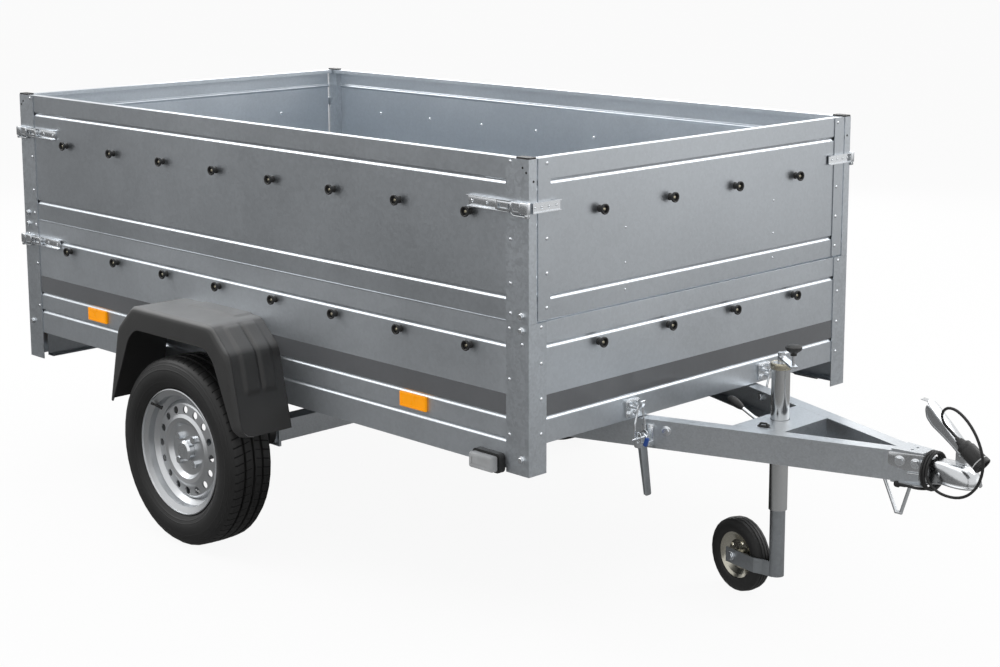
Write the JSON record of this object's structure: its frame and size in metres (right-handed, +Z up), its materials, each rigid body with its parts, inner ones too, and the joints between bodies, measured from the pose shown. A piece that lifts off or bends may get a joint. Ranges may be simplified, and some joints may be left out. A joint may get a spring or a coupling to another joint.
{
  "type": "single-axle utility trailer",
  "caption": "Galvanised single-axle utility trailer with raised side boards, folding end boards, a tipping bed on a V drawbar and a jockey wheel.",
  "frame": {"origin": "on the ground under the middle of the bounding box, as the trailer stands on its road wheels and jockey wheel", "axes": "+X forward to the coupling, +Y to the left, +Z up"},
  "size_m": [3.2205, 1.676, 1.216],
  "materials": {
    "galvanised_sheet": "hot-dip galvanised sheet",
    "galvanised_steel": "hot-dip galvanised",
    "zinc_plated": "bright zinc",
    "wheel_silver": "silver paint",
    "tyre": "moulded rubber",
    "black_rubber": "matt",
    "black_plastic": "grained",
    "black_paint": "satin",
    "amber_plastic": "moulded prisms",
    "white_plastic": "clear white lens",
    "red_plastic": "moulded lens"
  },
  "bodies": {
    "chassis": {"drawbar_arm_right": "galvanised_steel", "drawbar_arm_left": "galvanised_steel", "drawbar_cross_plate": "galvanised_steel", "drawbar_nose": "galvanised_steel", "coupling_head": "zinc_plated", "coupling_handle": "zinc_plated", "safety_eye": "zinc_plated", "jockey_clamp": "zinc_plated", "jockey_clamp_grip": "black_plastic", "axle_beam": "galvanised_steel", "axle_brackets": "galvanised_steel", "torsion_arms": "black_paint", "rest_pads": "black_rubber", "hold_down_latches": "zinc_plated", "cable": "black_rubber", "cable_coil": "black_rubber", "plug": "black_plastic", "jockey_tube": "zinc_plated", "jockey_crank": "zinc_plated", "jockey_knob": "black_plastic"},
    "bed": {"floor": "galvanised_sheet", "floor_beams": "galvanised_sheet", "side_lower_right": "galvanised_sheet", "side_lower_left": "galvanised_sheet", "side_upper_right": "galvanised_sheet", "side_upper_left": "galvanised_sheet", "front_lower_board": "galvanised_sheet", "rear_apron": "galvanised_sheet", "lower_posts": "galvanised_sheet", "upper_posts": "galvanised_sheet", "post_caps": "black_plastic", "fender_right": "black_plastic", "fender_left": "black_plastic", "bed_knobs": "black_plastic", "side_reflectors": "amber_plastic", "front_lamp_arms": "black_plastic", "front_lamp_lenses": "white_plastic", "tail_lamps": "red_plastic", "corner_latches": "zinc_plated", "hold_down_hooks": "zinc_plated", "hold_down_bails": "zinc_plated"},
    "front_flap": {"front_flap": "galvanised_sheet", "front_flap_knobs": "black_plastic", "front_flap_straps": "zinc_plated"},
    "rear_flap": {"rear_flap": "galvanised_sheet", "rear_flap_knobs": "black_plastic", "rear_flap_straps": "zinc_plated"},
    "tailgate": {"tailgate": "galvanised_sheet", "tailgate_knobs": "black_plastic", "tailgate_straps": "zinc_plated"},
    "wheel_right": {"tyre_right": "tyre", "rim_right": "wheel_silver", "hub_right": "zinc_plated"},
    "wheel_left": {"tyre_left": "tyre", "rim_left": "wheel_silver", "hub_left": "zinc_plated"},
    "jockey_nut": {"jockey_nut": "zinc_plated"},
    "jockey_leg": {"jockey_leg": "zinc_plated"},
    "jockey_wheel": {"jockey_tyre": "black_rubber", "jockey_rim": "zinc_plated"}
  },
  "joints": [
    {"name": "bed_tilt", "type": "hinge", "parent": "chassis", "child": "bed", "pos_m": [-0.471, 0, 0.4], "axis": [0, -1, 0], "range_deg": [0, 18]},
    {"name": "front_flap_hinge", "type": "hinge", "parent": "bed", "child": "front_flap", "pos_m": [0.729, 0, 0.841], "axis": [0, 1, 0], "range_deg": [0, 100]},
    {"name": "rear_flap_hinge", "type": "hinge", "parent": "bed", "child": "rear_flap", "pos_m": [-1.549, 0, 0.841], "axis": [0, -1, 0], "range_deg": [0, 150]},
    {"name": "tailgate_hinge", "type": "hinge", "parent": "bed", "child": "tailgate", "pos_m": [-1.563, 0, 0.51], "axis": [0, -1, 0], "range_deg": [0, 180]},
    {"name": "wheel_right_spin", "type": "hinge", "parent": "chassis", "child": "wheel_right", "pos_m": [-0.501, -0.7565, 0.2735], "axis": [0, 1, 0], "continuous": true},
    {"name": "wheel_left_spin", "type": "hinge", "parent": "chassis", "child": "wheel_left", "pos_m": [-0.501, 0.7565, 0.2735], "axis": [0, 1, 0], "continuous": true},
    {"name": "jockey_lift", "type": "slide", "parent": "chassis", "child": "jockey_nut", "axis": [0, 0, 1], "range_m": [-0.06, 0.13]},
    {"name": "jockey_swivel", "type": "hinge", "parent": "jockey_nut", "child": "jockey_leg", "pos_m": [0.997, 0, 0.1], "axis": [0, 0, 1], "continuous": true},
    {"name": "jockey_spin", "type": "hinge", "parent": "jockey_leg", "child": "jockey_wheel", "pos_m": [0.85957, 0.02671, 0.1], "axis": [0.1908, 0.9816, 0], "continuous": true}
  ]
}
